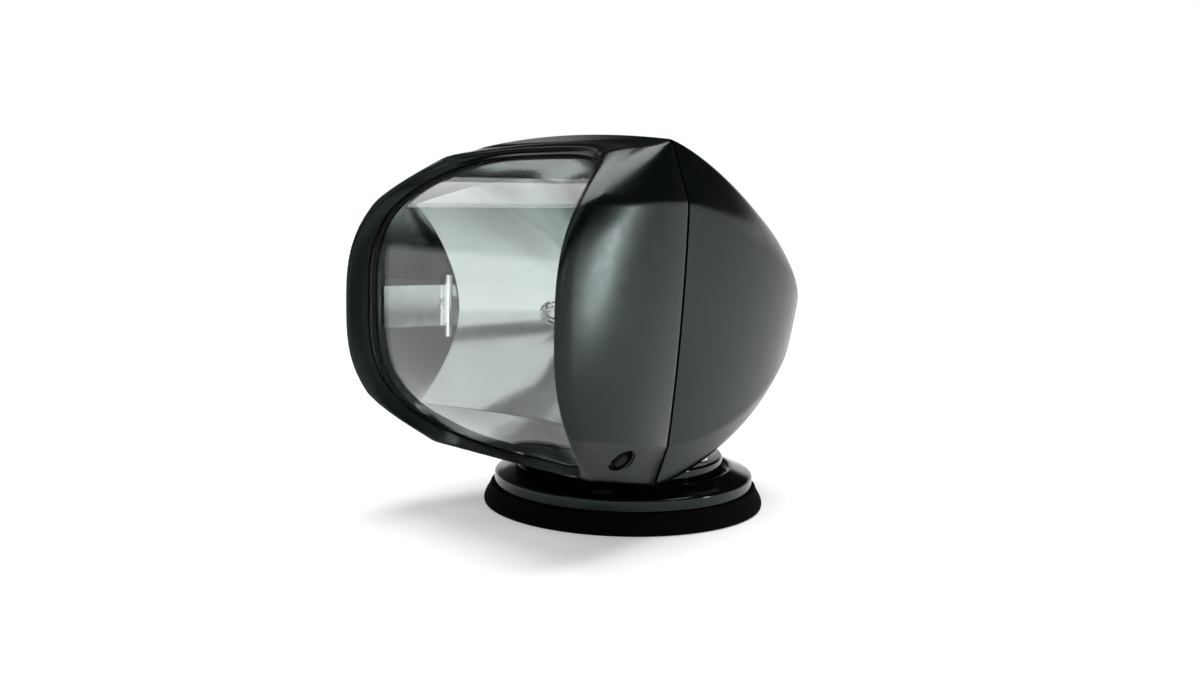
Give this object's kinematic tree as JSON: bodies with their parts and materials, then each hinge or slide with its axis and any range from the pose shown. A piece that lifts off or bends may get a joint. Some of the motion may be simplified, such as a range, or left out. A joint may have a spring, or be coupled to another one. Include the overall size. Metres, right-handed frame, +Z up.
{
  "type": "marine searchlight",
  "caption": "Remote-controlled marine searchlight: a tilting faceted head with a bowed lens on a motorised turntable and a round deck base.",
  "frame": {"origin": "on the pan axis, at the underside of the mounting gasket", "axes": "+Z up along the pan axis, the beam points along -Y, +X to the right of a viewer who looks along +Y at the lens"},
  "size_m": [0.1534, 0.2115, 0.1793],
  "materials": {
    "gloss_black": "polished black moulding",
    "rubber": "matte black",
    "clear_lens": "clear, polished",
    "mirror": "vacuum metallised",
    "trim_gloss": "metallised trim",
    "steel": "brushed",
    "bronze": "turned",
    "nylon": "moulded",
    "bulb_glass": "clear",
    "ceramic": "matte",
    "circuit_green": "satin"
  },
  "bodies": {
    "base": {"mounting_gasket": "rubber", "base_flange": "gloss_black", "pan_sun_gear": "nylon", "pan_spindle": "steel", "spindle_locknut": "steel", "turntable_nut": "steel", "cable_grommet": "rubber", "thrust_washer": "bronze"},
    "turntable": {"turntable": "gloss_black", "pan_bush": "bronze", "yoke": "steel", "yoke_screw_1": "steel", "yoke_screw_2": "steel", "yoke_screw_3": "steel", "yoke_screw_4": "steel", "pan_motor": "steel", "tilt_motor": "steel", "tilt_motor_bracket": "steel", "tilt_bush_left": "bronze", "tilt_bush_right": "bronze", "control_board": "circuit_green", "board_standoff_1": "nylon", "board_standoff_2": "nylon", "board_standoff_3": "nylon", "board_standoff_4": "nylon"},
    "pan_pinion": {"pan_pinion": "nylon"},
    "tilt_pinion": {"tilt_pinion": "nylon"},
    "head": {"front_housing": "gloss_black", "rear_housing": "gloss_black", "housing_seal": "rubber", "lens": "clear_lens", "lens_seal": "rubber", "reflector": "mirror", "inner_bezel": "trim_gloss", "side_bracket_left": "steel", "side_bracket_right": "steel", "bulb": "bulb_glass", "bulb_base": "steel", "bulb_holder": "ceramic", "retaining_clip": "steel", "cheek_screw_left": "steel", "cheek_screw_right": "steel", "tilt_axle_left": "steel", "tilt_axle_right": "steel", "left_axle_collar": "steel", "sector_nut": "steel", "tilt_sector_gear": "nylon"}
  },
  "joints": [
    {"name": "pan", "type": "hinge", "parent": "base", "child": "turntable", "pos_m": [0, 0, 0.0245], "axis": [0, 0, 1], "range_deg": [-185, 185]},
    {"name": "tilt", "type": "hinge", "parent": "turntable", "child": "head", "pos_m": [0, 0, 0.097], "axis": [-1, 0, 0], "range_deg": [-5, 18]},
    {"name": "pan_pinion_spin", "type": "hinge", "parent": "turntable", "child": "pan_pinion", "pos_m": [-0.01124, 0.02782, 0.0165], "axis": [0, 0, 1], "range_deg": [-556, 556]},
    {"name": "tilt_pinion_spin", "type": "hinge", "parent": "turntable", "child": "tilt_pinion", "pos_m": [0.035, 0, 0.0535], "axis": [-1, 0, 0], "range_deg": [-87, 25]}
  ],
  "couplings": [
    {"joint": "pan_pinion_spin", "follows": "pan", "ratio": 3},
    {"joint": "tilt_pinion_spin", "follows": "tilt", "ratio": -4.8}
  ]
}
